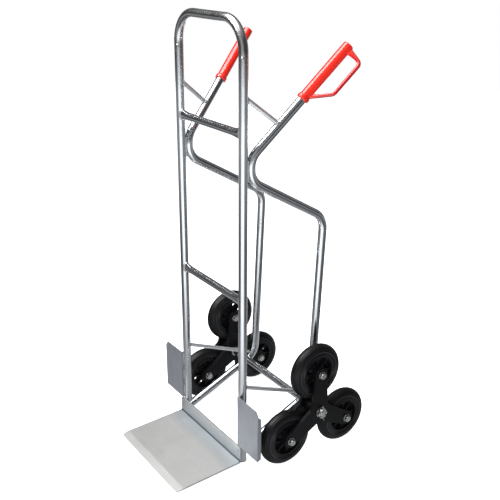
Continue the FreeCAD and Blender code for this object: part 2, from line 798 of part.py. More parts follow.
def build():
    os.makedirs("parts", exist_ok=True)
    save("right_upright", upright(1))
    save("left_upright", upright(-1))
    save("top_loop", top_loop())
    save("loop_sleeves", loop_sleeves())
    save("loop_rivets", loop_rivets())
    save("foot_plugs", foot_plugs())
    save("upper_crossbar", crossbar(upper_bar_z))
    save("middle_crossbar", crossbar(middle_bar_z))
    save("toe_plate", toe_plate())
    save("toe_plate_rivets", lip_rivets())
    save_pair("wing_plate", wing_plate())
    save_pair("side_frame", side_frame())
    save_pair("handle_strut", handle_strut())
    save_pair("grip", grip())
    save_pair("axle_strut", axle_strut())
    save("strut_screws", Part.makeCompound([tab_screw(), mirrored(tab_screw())]))
    save("axle_tube", axle_tube())
    save("axle_rod", axle_rod())
    save("hub_spacers", hub_spacers())
    save("hub_washers", hub_washers())
    save("castle_nuts", castle_nuts())
    save("split_pins", split_pins())
    save_pair("star_outer_plate", star_plate(False))
    save_pair("star_inner_plate", star_plate(True))
    save_pair("star_hub", star_hub())
    save_pair("star_sleeves", spacer_sleeves())
    save_pair("star_bolts", wheel_bolts())
    save_pair("star_nuts", wheel_nuts())
    for name, _, y, z in wheel_places():
        save_pair(name + "_tyre", tyre(y, z))
        save_pair(name + "_rim", rim(y, z))
        save_pair(name + "_bush", bush(y, z))


build()
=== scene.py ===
import json
import math

import bmesh
import bpy
from mathutils import Matrix, Vector


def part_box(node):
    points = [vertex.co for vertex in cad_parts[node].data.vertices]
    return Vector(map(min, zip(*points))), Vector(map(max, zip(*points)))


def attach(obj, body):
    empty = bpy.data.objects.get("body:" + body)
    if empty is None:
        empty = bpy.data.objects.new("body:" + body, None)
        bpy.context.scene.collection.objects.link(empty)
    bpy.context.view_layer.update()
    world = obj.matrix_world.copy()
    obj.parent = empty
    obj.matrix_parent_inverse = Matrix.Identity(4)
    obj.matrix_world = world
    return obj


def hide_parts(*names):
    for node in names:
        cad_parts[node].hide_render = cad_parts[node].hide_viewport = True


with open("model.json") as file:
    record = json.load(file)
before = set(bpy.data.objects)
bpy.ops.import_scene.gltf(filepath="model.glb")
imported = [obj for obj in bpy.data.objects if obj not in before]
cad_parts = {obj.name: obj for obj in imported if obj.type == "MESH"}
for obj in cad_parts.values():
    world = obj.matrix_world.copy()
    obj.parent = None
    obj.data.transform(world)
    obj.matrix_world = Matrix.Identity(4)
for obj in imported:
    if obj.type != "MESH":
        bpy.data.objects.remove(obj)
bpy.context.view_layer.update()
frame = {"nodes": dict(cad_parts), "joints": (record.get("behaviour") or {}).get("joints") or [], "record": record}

# The trolley stands with +X to its right, its toe plate towards -Y and its wheels towards +Y.
# The trolley's lengths are in millimetres, which MM turns into metres. Those of the camera, the
# lights and the floor are in metres. Angles are in degrees.
MM = 0.001
SIDES = {"right": 1, "left": -1}
WHEELS = ("upper", "front", "rear")
joints = {joint["name"]: joint for joint in frame["joints"]}
node_body = {node: body for body, nodes in frame["record"]["behaviour"]["bodies"].items()
             for node in nodes}


def mm(x, y, z):
    return Vector((x, y, z)) * MM


def turns(count):
    """Even steps of one full turn, in radians."""
    return [2.0 * math.pi * k / count for k in range(count)]


# Corners of the right side frame's centreline.
FRAME_CONTACT_LOW = mm(160.0, -62.08, 890.0)
FRAME_CONTACT = mm(160.0, -62.08, 954.0)
FRAME_GRIP_END = mm(230.0, 200.47, 1236.0)
FRAME_HEEL = mm(153.0, 180.97, 148.9)
FRAME_FOOT = mm(153.0, -87.53, 35.5)
GRIP_ALONG = (FRAME_GRIP_END - FRAME_CONTACT).normalized()


# ---------------------------------------------------------------- materials

BLACK = (0.0, 0.0, 0.0)
WHITE = (1.0, 1.0, 1.0)
ACROSS_X = (0.0, 1.0, 1.0)      # leaves only what lies across the X axis
# The colour sockets of a Mix node.
MIX_FIRST, MIX_SECOND, MIX_RESULT = 6, 7, 2


def opaque(colour):
    return (*colour, 1.0)


class Graph:
    """A node tree, with short calls to add and join nodes."""

    def __init__(self, tree):
        self.tree = tree

    def node(self, kind, inputs=None, **settings):
        made = self.tree.nodes.new("ShaderNode" + kind)
        for key, value in settings.items():
            setattr(made, key, value)
        for key, value in (inputs or {}).items():
            self.put(made.inputs[key], value)
        return made

    def put(self, socket, value):
        if isinstance(value, bpy.types.NodeSocket):
            self.tree.links.new(value, socket)
        else:
            socket.default_value = value

    def maths(self, operation, *values):
        return self.node("Math", dict(enumerate(values)), operation=operation).outputs[0]

    def vector(self, operation, *values):
        """Vector arithmetic that gives a vector."""
        made = self.node("VectorMath", dict(enumerate(values)), operation=operation)
        return made.outputs["Vector"]

    def measure(self, operation, *values):
        """Vector arithmetic that gives a number."""
        made = self.node("VectorMath", dict(enumerate(values)), operation=operation)
        return made.outputs["Value"]

    def ramp(self, value, low, high, from_low=0.3, from_high=0.7, kind="LINEAR"):
        """A value spread from one range to another; noise lies mostly from 0.3 to 0.7."""
        made = self.node("MapRange", {"Value": value, "From Min": from_low, "From Max": from_high,
                                      "To Min": low, "To Max": high}, interpolation_type=kind)
        return made.outputs["Result"]

    def blend(self, factor, first, second):
        """A mix of two colours, each of them a socket or three numbers."""
        made = self.node("Mix", {"Factor": factor}, data_type="RGBA")
        for index, colour in ((MIX_FIRST, first), (MIX_SECOND, second)):
            joined = isinstance(colour, bpy.types.NodeSocket)
            self.put(made.inputs[index], colour if joined else opaque(colour))
        return made.outputs[MIX_RESULT]


class Shader(Graph):
    """One material."""

    def __init__(self, name):
        self.material = bpy.data.materials.new(name)
        self.material.use_nodes = True
        super().__init__(self.material.node_tree)
        self.surface = self.tree.nodes["Principled BSDF"]
        self.place = self.tree.nodes.new("ShaderNodeTexCoord").outputs["Object"]

    def set(self, **inputs):
        for key, value in inputs.items():
            self.put(self.surface.inputs[key.replace("_", " ")], value)

    def stretched(self, scale):
        """Coordinates multiplied along each axis."""
        return self.node("Mapping", {"Vector": self.place, "Scale": scale}).outputs[0]

    def noise(self, scale, source=None, detail=4.0, roughness=0.55):
        return self.node("TexNoise", {"Vector": source or self.place, "Scale": scale,
                                      "Detail": detail, "Roughness": roughness}).outputs["Fac"]

    def bump(self, height, strength, distance):
        made = self.node("Bump", {"Height": height, "Strength": strength, "Distance": distance})
        self.set(Normal=made.outputs["Normal"])


# The inside corner of the toe plate's fold, and how far its painted crease shadow and its painted shade and
# reflection reach.
FOLD_CORNER = (0.0, -106.6 * MM, 15.4 * MM)
FOLD_CREASE_SHADOW = (1.2, 3.6)
FOLD_PAINTED_SHADE = (4.0, 62.0)
# Painted shadow along the crease, and painted shade and reflection of the lip round it.
FOLD_CREASE_SHADOW_COLOUR = (0.10, 0.10, 0.11)
FOLD_PAINTED_SHADE_COLOUR = (0.46, 0.50, 0.53)


def fold_painted_shade(shader, colour):
    """Painted shadow: a dark line in the toe plate's fold; round it a painted bluish shade and reflection of the
    lip that fades away from it.
    """
    apart = shader.vector("SUBTRACT", shader.place, FOLD_CORNER)
    away = shader.measure("LENGTH", shader.vector("MULTIPLY", apart, ACROSS_X))
    shaded = shader.blend(shader.ramp(away, 0.0, 1.0, FOLD_PAINTED_SHADE[0] * MM, FOLD_PAINTED_SHADE[1] * MM),
                          FOLD_PAINTED_SHADE_COLOUR, colour)
    return shader.blend(shader.ramp(away, 0.0, 1.0, FOLD_CREASE_SHADOW[0] * MM, FOLD_CREASE_SHADOW[1] * MM),
                        FOLD_CREASE_SHADOW_COLOUR, shaded)


GUARD_PAINTED_SHADE = (16.0, 30.0)      # painted shade: the red darkens between these distances from the grip's axis
# The guard's red in painted shade.
GUARD_PAINTED_SHADE_COLOUR = (0.50, 0.008, 0.008)


def guard_painted_shade(shader, colour):
    """Painted shade: the red darkens from the sleeve out to the guard, which lies in shade; both grips mirror each
    other.
    """
    folded = shader.vector("ABSOLUTE", shader.place)
    apart = shader.vector("SUBTRACT", folded, FRAME_GRIP_END)
    along = shader.measure("DOT_PRODUCT", apart, GRIP_ALONG)
    run = shader.node("VectorMath", {0: GRIP_ALONG, "Scale": along}, operation="SCALE").outputs[0]
    away = shader.measure("LENGTH", shader.vector("SUBTRACT", apart, run))
    far = shader.ramp(away, 0.0, 1.0, GUARD_PAINTED_SHADE[0] * MM, GUARD_PAINTED_SHADE[1] * MM)
    return shader.blend(far, colour, GUARD_PAINTED_SHADE_COLOUR)


CROWN_CENTRE_R = 69.0           # the tyre's crown is an arc round this radius
TREAD_PAINTED_SHADE = (19.0, 19.9)      # painted shade in the grooves: full at a groove's floor, gone at a block's top, measured from the crown's centre
# The tyre's black in painted shade at the bottom of a groove.
GROOVE_PAINTED_SHADE_COLOUR = (0.0015, 0.0015, 0.0015)
RIDGE_R = 68.4                  # the crest of the ridge round the sidewall
RIDGE_HIGHLIGHT_HALF = (0.5, 1.6)         # how far its painted highlight is full, and how far it reaches
# The paler grey of the ridge's painted highlight.
RIDGE_PAINTED_HIGHLIGHT_COLOUR = (0.040, 0.041, 0.043)


def distance_from_axle(shader):
    return shader.measure("LENGTH", shader.vector("MULTIPLY", shader.place, ACROSS_X))


def tread_painted_shade(shader, colour):
    """Painted shade: the grooves darker than the tread blocks, where shade falls in them."""
    above = shader.maths("SUBTRACT", distance_from_axle(shader), CROWN_CENTRE_R * MM)
    across = shader.node("SeparateXYZ", {0: shader.place}).outputs["X"]
    deep = shader.maths("SQRT", shader.maths("ADD", shader.maths("MULTIPLY", above, above),
                                             shader.maths("MULTIPLY", across, across)))
    land = shader.ramp(deep, 0.0, 1.0, TREAD_PAINTED_SHADE[0] * MM, TREAD_PAINTED_SHADE[1] * MM)
    return shader.blend(land, GROOVE_PAINTED_SHADE_COLOUR, colour)


def ridge_painted_highlight(shader, colour):
    """A painted highlight: a paler line along the crest of the ridge round the sidewall."""
    away = shader.maths("ABSOLUTE", shader.maths("SUBTRACT", distance_from_axle(shader),
                                                 RIDGE_R * MM))
    crest = shader.ramp(away, 1.0, 0.0, RIDGE_HIGHLIGHT_HALF[0] * MM, RIDGE_HIGHLIGHT_HALF[1] * MM)
    return shader.blend(crest, colour, RIDGE_PAINTED_HIGHLIGHT_COLOUR)


METAL_CLOUDS = 14.0             # the scale of the clouds
SCRATCH_FINENESS = 4.0          # scratches are this many times finer than streaks
STREAK_REACH = 2.2              # the share of the darker tone at a full streak of strength 1
STREAK_DARKENING = 0.5
STREAK_ROUGHNESS = (-0.05, 0.07)
CLOUD_ROUGHNESS = (-0.03, 0.04)
METAL_RELIEF = 0.2 * MM


def metal(name, colour, dark, roughness, grain, streak=0.10, bump=0.12, metallic=1.0, painted_light=None):
    """Drawn or rolled metal: fine streaks along the grain over broad soft clouds."""
    shader = Shader(name)
    streaks = shader.noise(1.0, shader.stretched(grain), detail=6.0, roughness=0.65)
    clouds = shader.noise(METAL_CLOUDS, detail=3.0)
    fine_grain = [SCRATCH_FINENESS * scale for scale in grain]
    scratches = shader.noise(1.0, shader.stretched(fine_grain), detail=2.0)
    tint = shader.blend(shader.ramp(clouds, 0.0, 1.0), colour, dark)
    lined = shader.blend(shader.ramp(streaks, 0.0, streak * STREAK_REACH), tint,
                         [STREAK_DARKENING * part for part in dark])
    finish = shader.maths("ADD", shader.ramp(streaks, *(roughness + d for d in STREAK_ROUGHNESS)),
                          shader.ramp(clouds, *CLOUD_ROUGHNESS))
    # painted_light, where given, paints light and shade into the colour.
    shader.set(Base_Color=painted_light(shader, lined) if painted_light else lined, Metallic=metallic,
               Roughness=finish)
    shader.bump(shader.maths("ADD", streaks, scratches), bump, METAL_RELIEF)
    return shader.material


MOULDED_CLOUDS = 30.0
WEAR_ROUGHNESS = (-0.06, 0.08)
COAT_ROUGHNESS = 0.07
MOULDED_RELIEF = 0.3 * MM


def moulded(name, colour, dark, roughness, grain, bump, coat=0.0, gloss=0.5, painted_light=None):
    """Moulded plastic or rubber: fine pebble grain and slight wear in tone."""
    shader = Shader(name)
    pebble = shader.noise(grain, detail=3.0, roughness=0.6)
    clouds = shader.noise(MOULDED_CLOUDS)
    tint = shader.blend(shader.ramp(clouds, 0.0, 1.0), colour, dark)
    # painted_light, where given, paints light and shade into the colour.
    shader.set(Base_Color=painted_light(shader, tint) if painted_light else tint,
               Roughness=shader.ramp(clouds, *(roughness + d for d in WEAR_ROUGHNESS)),
               Coat_Weight=coat, Coat_Roughness=COAT_ROUGHNESS, Specular_IOR_Level=gloss)
    shader.bump(pebble, bump, MOULDED_RELIEF)
    return shader.material


# The grain of metal is the scale of its streaks along X, Y and Z: they run where it is small.
ALONG_Z = (420.0, 420.0, 6.0)
ALONG_X = (6.0, 420.0, 420.0)
EVEN = (60.0, 60.0, 60.0)
FINE = (200.0, 200.0, 200.0)

ALU = (0.78, 0.79, 0.81)
ALU_DARK = (0.66, 0.68, 0.71)

METALS = {
    "upright_tube": {"colour": ALU, "dark": ALU_DARK, "roughness": 0.17, "grain": ALONG_Z},
    "cross_tube": {"colour": ALU, "dark": ALU_DARK, "roughness": 0.19, "grain": ALONG_X},
    "bent_tube": {"colour": ALU, "dark": ALU_DARK, "roughness": 0.16, "grain": EVEN,
                  "streak": 0.03},
    # A darker copy of the tubes' aluminium: painted shade for the loop's darker reflections.
    "loop_tube": {"colour": (0.66, 0.66, 0.66), "dark": (0.57, 0.57, 0.58), "roughness": 0.22,
                  "grain": EVEN, "streak": 0.03},
    "toe_sheet": {"colour": (0.74, 0.73, 0.71), "dark": (0.67, 0.67, 0.66), "roughness": 0.46,
                  "grain": (7.0, 520.0, 520.0), "streak": 0.14, "bump": 0.3, "metallic": 0.88,
                  "painted_light": fold_painted_shade},
    "wing_sheet": {"colour": (0.40, 0.42, 0.46), "dark": (0.35, 0.37, 0.41), "roughness": 0.45,
                   "grain": (300.0, 300.0, 10.0), "streak": 0.05, "metallic": 0.7},
    # A paler copy of the tubes' aluminium: painted light that stands in for the struts' bright reflections.
    "strut_tube_painted_pale": {"colour": (0.92, 0.93, 0.95), "dark": (0.84, 0.85, 0.88), "roughness": 0.34,
                   "grain": EVEN, "streak": 0.03, "metallic": 0.8},
    "rivet_alu": {"colour": (0.62, 0.63, 0.65), "dark": (0.52, 0.53, 0.55), "roughness": 0.42,
                  "grain": FINE},
    "weld_bead": {"colour": (0.82, 0.82, 0.82), "dark": (0.60, 0.60, 0.61), "roughness": 0.32,
                  "grain": (220.0, 220.0, 220.0), "streak": 0.2, "bump": 0.3, "metallic": 0.9},
    "zinc": {"colour": (0.78, 0.78, 0.76), "dark": (0.64, 0.64, 0.62), "roughness": 0.22,
             "grain": FINE},
}
MOULDINGS = {
    "grip_red": {"colour": (0.90, 0.026, 0.012), "dark": (0.80, 0.018, 0.008),
                 "roughness": 0.24, "grain": 700.0, "bump": 0.015, "coat": 0.8,
                 "painted_light": guard_painted_shade},
    "tyre_rubber": {"colour": (0.008, 0.008, 0.009), "dark": (0.005, 0.005, 0.006),
                    "roughness": 0.36, "grain": 1500.0, "bump": 0.20, "gloss": 0.34,
                    "painted_light": tread_painted_shade},
    "tyre_side": {"colour": (0.006, 0.006, 0.007), "dark": (0.004, 0.004, 0.005),
                  "roughness": 0.20, "grain": 1500.0, "bump": 0.04, "painted_light": ridge_painted_highlight},
    "rim_black": {"colour": (0.006, 0.006, 0.007), "dark": (0.004, 0.004, 0.005),
                  "roughness": 0.28, "grain": 1200.0, "bump": 0.12, "gloss": 0.25},
    "star_black": {"colour": (0.006, 0.006, 0.007), "dark": (0.004, 0.004, 0.005),
                   "roughness": 0.30, "grain": 1600.0, "bump": 0.20, "gloss": 0.18},
    "bush_nylon": {"colour": (0.62, 0.61, 0.57), "dark": (0.54, 0.53, 0.50),
                   "roughness": 0.45, "grain": 800.0, "bump": 0.05},
    "plug_black": {"colour": (0.014, 0.014, 0.015), "dark": (0.010, 0.010, 0.010),
                   "roughness": 0.45, "grain": 900.0, "bump": 0.15},
}
MATERIALS = {name: metal(name, **look) for name, look in METALS.items()}
MATERIALS.update({name: moulded(name, **look) for name, look in MOULDINGS.items()})

# The material of the CAD nodes whose names end so.
NODE_FINISH = {
    "upright": "upright_tube", "crossbar": "cross_tube", "axle_tube": "cross_tube",
    "side_frame": "bent_tube", "strut": "strut_tube_painted_pale", "rivets": "rivet_alu",
    "top_loop": "loop_tube", "loop_sleeves": "upright_tube", "toe_plate": "toe_sheet",
    "wing_plate": "wing_sheet", "grip": "grip_red", "tyre": "tyre_rubber", "rim": "rim_black",
    "bush": "bush_nylon", "plugs": "plug_black", "outer_plate": "star_black",
    "inner_plate": "star_black", "star_hub": "star_black",
}


def finish_of(node):
    """The material of a CAD node, zinc where nothing else is named."""
    for ending, choice in NODE_FINISH.items():
        if node.endswith(ending):
            return MATERIALS[choice]
    return MATERIALS["zinc"]


def dress_nodes():
    for name, node in frame["nodes"].items():
        node.data.materials.clear()
        node.data.materials.append(finish_of(name))


# ---------------------------------------------------------------- making meshes

SAME_POINT = 1e-6               # metres
FLAT_ANGLE = 0.6                # triangles that meet at less than this are one flat face
CREASE_ANGLE = 32.0             # faces that meet at more than this have a sharp edge
BEVEL_SEGMENTS = 2


def mesh_from(name, build, material, sharp=None):
    """Turn a bmesh into a smooth-shaded mesh with one material, creased past an angle."""
    bmesh.ops.recalc_face_normals(build, faces=build.faces)
    mesh = bpy.data.meshes.new(name)
    build.to_mesh(mesh)
    build.free()
    mesh.materials.append(material)
    mesh.shade_smooth()
    if sharp is not None:
        mesh.set_sharp_from_angle(angle=math.radians(sharp))
    return mesh


def add_piece(name, mesh, body, replaced=(), place=(0.0, 0.0, 0.0)):
    piece = bpy.data.objects.new(name, mesh)
    piece.location = place
    bpy.context.scene.collection.objects.link(piece)
    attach(piece, body)
    if replaced:
        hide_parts(*replaced)
    return piece


def stand_in(node, ending, mesh, place=(0.0, 0.0, 0.0)):
    """Put a mesh in the place of a CAD node, on its body."""
    return add_piece(node + ending, mesh, node_body[node], (node,), place)


def skin(build, rings, closed):
    """Join rings of points into a tube that runs round to its start or has a cap at each end."""
    pairs = list(zip(rings, rings[1:]))
    if closed:
        pairs.append((rings[-1], rings[0]))
    else:
        build.faces.new(rings[0])
        build.faces.new(rings[-1])
    for near, far in pairs:
        for i in range(len(near)):
            j = (i + 1) % len(near)
            build.faces.new((near[i], near[j], far[j], far[i]))


def lathe(build, outline, segments, moved=None):
    """Revolve a closed outline of (x, r) in millimetres about X.

    The function moved may shift a point by its ring and its row.
    """
    rings = []
    for k, turn in enumerate(turns(segments)):
        ring = []
        for row, (x, r) in enumerate(outline):
            x, r = x * MM, r * MM
            if moved:
                x, r = moved(k, row, x, r)
            ring.append(build.verts.new((x, r * math.sin(turn), r * math.cos(turn))))
        rings.append(ring)
    skin(build, rings, closed=True)


def mirrored(outline):
    return [(-x, r) for x, r in outline]


def joined_copy(node):
    """A bmesh of a CAD node with its doubled points joined."""
    build = bmesh.new()
    build.from_mesh(frame["nodes"][node].data)
    bmesh.ops.remove_doubles(build, verts=build.verts, dist=SAME_POINT)
    return build


def flat_copy(node):
    """The same, with the triangles of each flat face joined."""
    build = joined_copy(node)
    bmesh.ops.dissolve_limit(build, angle_limit=math.radians(FLAT_ANGLE), verts=build.verts,
                             edges=build.edges)
    return build


def round_edges(piece, width, angle):
    """Round the edges of a piece where its faces meet at more than the angle."""
    bevel = piece.modifiers.new("rounded_edges", "BEVEL")
    bevel.width = width * MM
    bevel.segments = BEVEL_SEGMENTS
    bevel.limit_method = "ANGLE"
    bevel.angle_limit = math.radians(angle)
    return bevel


# ---------------------------------------------------------------- sheet, cut and turned parts

# How far the edges of these parts are rounded.
SIDE_PARTS = {"_star_outer_plate": 0.9, "_star_inner_plate": 0.9, "_wing_plate": 0.7,
              "_star_nuts": 0.4, "_star_bolts": 0.4, "_axle_strut": 0.5}
MIDDLE_PARTS = {"castle_nuts": 0.5, "toe_plate": 0.6, "axle_rod": 0.4}


def soften(node, width):
    """Stand a copy of a CAD node with rounded edges in its place."""
    mesh = mesh_from(node + "_soft", flat_copy(node), finish_of(node), sharp=CREASE_ANGLE)
    piece = stand_in(node, "_soft", mesh)
    round_edges(piece, width, CREASE_ANGLE).harden_normals = True


def soften_nodes():
    for side in SIDES:
        for part, width in SIDE_PARTS.items():
            soften(side + part, width)
    for node, width in MIDDLE_PARTS.items():
        soften(node, width)


# ---------------------------------------------------------------- tyres

TYRE_HALF = 20.0
TYRE_SEAT_R = 54.05
TYRE_CREASE = 50.0
CROWN_R = 20.0
CROWN_ROWS = 40
CROWN_START = 9.0               # degrees from the side, where the crown begins
TREAD_DEPTH = 0.9
TREAD_STEP = 4                  # samples from one groove to the next
TREAD_REPEATS = 92
TREAD_FIRST_ROW = 5             # the tread stops this many rows from the side
RIB_STEP = 6                    # rows from one groove that runs round the tyre to the next
RIB_GROOVE = 2                  # rows that each of those grooves takes
# Each step of the sidewall as its inset from the tyre's side and its radius.
SIDEWALL = ((1.6, TYRE_SEAT_R), (0.5, 55.4), (0.3, 56.8), (1.6, 57.9), (2.0, 59.4), (1.2, 60.2),
            (0.7, 61.2), (0.9, 62.2), (1.9, 63.0), (2.3, 65.6), (1.3, 66.2), (0.5, 67.0),
            (0.1, 68.2), (0.3, 69.4), (1.0, 70.2), (2.1, 70.9))
SIDEWALL_TOP_R = 72.0           # the smooth sidewall's finish ends here


def tyre_outline():
    right = [(TYRE_HALF - inset, r) for inset, r in SIDEWALL]
    crown = []
    for row in range(CROWN_ROWS + 1):
        angle = math.radians(CROWN_START + (180.0 - 2.0 * CROWN_START) * row / CROWN_ROWS)
        crown.append((CROWN_R * math.cos(angle), CROWN_CENTRE_R + CROWN_R * math.sin(angle)))
    return right + crown + mirrored(reversed(right))


def tread(ring, row, x, r):
    """Sink the crown's points in grooves round the tyre and two crossing families of grooves."""
    step = row - len(SIDEWALL)
    if step < TREAD_FIRST_ROW or step > CROWN_ROWS - TREAD_FIRST_ROW:
        return x, r
    in_rib = step % RIB_STEP < RIB_GROOVE
    if not in_rib and (ring + step) % TREAD_STEP and (ring - step) % TREAD_STEP:
        return x, r
    out_x, out_r = x / (CROWN_R * MM), (r - CROWN_CENTRE_R * MM) / (CROWN_R * MM)
    return x - TREAD_DEPTH * MM * out_x, r - TREAD_DEPTH * MM * out_r


def add_tyres():
    """Treaded tyres with a smoother sidewall, one mesh for all six."""
    build = bmesh.new()
    lathe(build, tyre_outline(), TREAD_REPEATS * TREAD_STEP, tread)
    for face in build.faces:
        middle = face.calc_center_median()
        face.material_index = int(math.hypot(middle.y, middle.z) < SIDEWALL_TOP_R * MM)
    mesh = mesh_from("tyre_profile", build, MATERIALS["tyre_rubber"], sharp=TYRE_CREASE)
    mesh.materials.append(MATERIALS["tyre_side"])
    for side in SIDES:
        for wheel in WHEELS:
            hub = joints[side + "_" + wheel + "_wheel_roll"]["pos_m"]
            stand_in(side + "_" + wheel + "_tyre", "_treaded", mesh, hub)


# ---------------------------------------------------------------- rims

# Outlines of (x, r) from the wheel's middle plane and axis, for its right face.
RIM_LIP = ((17.2, 49.6), (18.7, 49.2), (19.7, 50.2), (19.9, 51.6), (19.4, 53.0), (18.2, 53.9),
           (17.2, 53.6))
RIM_STEP = ((4.5, 45.0), (6.0, 44.2), (7.0, 45.2), (7.2, 49.4), (4.5, 49.6))
HUB_FLARE = ((3.2, 17.6), (13.0, 17.6), (12.6, 19.4), (8.0, 20.4), (5.0, 22.6), (3.2, 25.0))
HUB_RIM = ((25.0, 17.2), (28.3, 17.2), (28.4, 18.4), (27.6, 19.4), (25.6, 19.5), (25.0, 18.8))
RIM_SEGMENTS = 96
RIM_EDGE = 0.7
RIM_EDGE_ANGLE = 40.0


def add_rims():
    """The CAD rims with rolled lips, a stepped web and a flared hub added on both faces."""
    for side in SIDES:
        for wheel in WHEELS:
            node = side + "_" + wheel + "_rim"
            hub = Vector(joints[side + "_" + wheel + "_wheel_roll"]["pos_m"])
            build = flat_copy(node)
            bmesh.ops.translate(build, verts=build.verts, vec=-hub)
            for outline in (RIM_LIP, RIM_STEP, HUB_FLARE, HUB_RIM):
                lathe(build, outline, RIM_SEGMENTS)
                lathe(build, mirrored(outline), RIM_SEGMENTS)
            mesh = mesh_from(node + "_profile", build, MATERIALS["rim_black"],
                             sharp=CREASE_ANGLE)
            round_edges(stand_in(node, "_lipped", mesh, hub), RIM_EDGE, RIM_EDGE_ANGLE)


# ---------------------------------------------------------------- grips

GRIP_VOXEL = 1.3
GRIP_SMOOTHING = 7              # passes
GRIP_SMOOTH_FACTOR = 0.5
GRIP_LENGTH = 189.0
GUARD_REACH = mm(48.2, 17.0, -27.8)     # from the grip's axis out to the guard
# Each end of the guard: where its flare starts and would end along the grip, the share of its
# way that the flare covers, and its half width along the grip at the root.
GUARD_FLARES = ((14.0, 56.3, 0.55, 12.0), (175.5, 167.8, 0.80, 13.0))
GUARD_HALF = 5.0
FLARE_ROWS = 10
FLARE_SIDES = 24


def lay_flare(build, root, tip, root_half, sign):
    """An oval bar that narrows quickly from its root on the grip to the guard's own width."""
    aside = (tip - root).cross(GRIP_ALONG).normalized()
    rings = []
    for row in range(FLARE_ROWS + 1):
        share = row / FLARE_ROWS
        half = (GUARD_HALF + (root_half - GUARD_HALF) * (1.0 - share) ** 2) * MM
        ring = []
        for turn in turns(FLARE_SIDES):
            spot = (root.lerp(tip, share) + GRIP_ALONG * (half * math.cos(turn))
                    + aside * (GUARD_HALF * MM * math.sin(turn)))
            ring.append(build.verts.new((sign * spot.x, spot.y, spot.z)))
        rings.append(ring)
    skin(build, rings, closed=False)


def add_grips():
    """Grips moulded in one piece: the sleeve, collar and guard run into each other."""
    reach = GUARD_REACH - GRIP_ALONG * GUARD_REACH.dot(GRIP_ALONG)
    low_end = FRAME_GRIP_END - GRIP_ALONG * (GRIP_LENGTH * MM)
    for side, sign in SIDES.items():
        node = side + "_grip"
        build = joined_copy(node)
        for start, end, share, half in GUARD_FLARES:
            root = low_end + GRIP_ALONG * (start * MM)
            tip = root + (reach + GRIP_ALONG * ((end - start) * MM)) * share
            lay_flare(build, root, tip, half, sign)
        mesh = mesh_from(node + "_moulding", build, MATERIALS["grip_red"])
        piece = stand_in(node, "_moulding", mesh)
        remesh = piece.modifiers.new("one_skin", "REMESH")
        remesh.mode = "VOXEL"
        remesh.voxel_size = GRIP_VOXEL * MM
        remesh.use_smooth_shade = True
        smooth = piece.modifiers.new("run_together", "SMOOTH")
        smooth.factor = GRIP_SMOOTH_FACTOR
        smooth.iterations = GRIP_SMOOTHING


# ---------------------------------------------------------------- cross tubes

CROSSBARS = ("upper_crossbar", "middle_crossbar")
CROSSBAR_R = 11.0
CROSSBAR_HALF = 151.5           # its ends are hidden inside the uprights' walls
CROSSBAR_SIDES = 48
CROSSBAR_CREASE = 60.0
# The ends are pressed into upright ovals.
PRESSED_LENGTH = 40.0
PRESSED_HALF_Y, PRESSED_HALF_Z = 8.6, 15.5
PRESSED_ROWS = 10


def centre(node):
    low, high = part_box(node)
    return (low + high) / 2.0


def crossbar_rows():
    """Each ring of a cross tube as its X and its half width and half height."""
    rows = []
    for k in range(PRESSED_ROWS + 1):
        share = k / PRESSED_ROWS
        press = share * share * (3.0 - 2.0 * share)
        rows.append((CROSSBAR_HALF - PRESSED_LENGTH * (1.0 - share),
                     CROSSBAR_R + (PRESSED_HALF_Y - CROSSBAR_R) * press,
                     CROSSBAR_R + (PRESSED_HALF_Z - CROSSBAR_R) * press))
    return [(-x, y, z) for x, y, z in reversed(rows)] + rows


def add_crossbars():
    for node in CROSSBARS:
        middle = centre(node)
        build = bmesh.new()
        rings = []
        for x, half_y, half_z in crossbar_rows():
            rings.append([build.verts.new(middle + mm(x, half_y * math.cos(turn),
                                                      half_z * math.sin(turn)))
                          for turn in turns(CROSSBAR_SIDES)])
        skin(build, rings, closed=False)
        mesh = mesh_from(node + "_pressed", build, MATERIALS["cross_tube"],
                         sharp=CROSSBAR_CREASE)
        stand_in(node, "_pressed", mesh)


# ---------------------------------------------------------------- welds

TUBE_R = 12.7
HANDLE_STRUT_R = 6.5
AXLE_STRUT_R = 6.0
UP = Vector((0.0, 0.0, 1.0))

SADDLE_POINTS = 72
GRAZING = 0.04                  # a line of a bar's surface that only grazes the post has no bead
SHORTEST_RUN = 4                # points
BEAD_PITCH = 3.2
BEAD_SAMPLES = 4                # samples along each ripple
BEAD_SIDES = 8
BEAD_LOW, BEAD_RIPPLE = 0.86, 0.16      # a bead's size between ripples, and what a ripple adds
BEAD_WIDTH, BEAD_HEIGHT = 1.2, 0.8
BEAD_END, BEAD_END_STEP = 0.45, 0.3     # an open bead's size at its ends, and its growth from there


def saddle(point, heading, radius, post, post_heading, post_radius):
    """Where a round bar's surface runs into a round post: points with their outward directions."""
    heading, post_heading = heading.normalized(), post_heading.normalized()
    across = heading.orthogonal().normalized()
    other = heading.cross(across)
    flat_heading = heading - post_heading * heading.dot(post_heading)
    found = []
    for turn in turns(SADDLE_POINTS):
        outward = across * math.cos(turn) + other * math.sin(turn)
        start = point + outward * radius - post
        flat = start - post_heading * start.dot(post_heading)
        a, b = flat_heading.length_squared, flat.dot(flat_heading)
        inside = b * b - a * (flat.length_squared - post_radius ** 2)
        if inside < GRAZING * post_radius ** 2:
            found.append(None)
            continue
        reach = (-b + math.sqrt(inside)) / a
        radial = (flat + flat_heading * reach).normalized()
        found.append((post + start + heading * reach, (radial + outward).normalized()))
    return found


def runs_of(found):
    """Split a round of points at its gaps, and say whether the round is closed."""
    if None not in found:
        return [found], True
    gap = found.index(None)
    runs, run = [], []
    for item in found[gap:] + found[:gap] + [None]:
        if item is not None:
            run.append(item)
            continue
        if len(run) >= SHORTEST_RUN:
            runs.append(run)
        run = []
    return runs, False


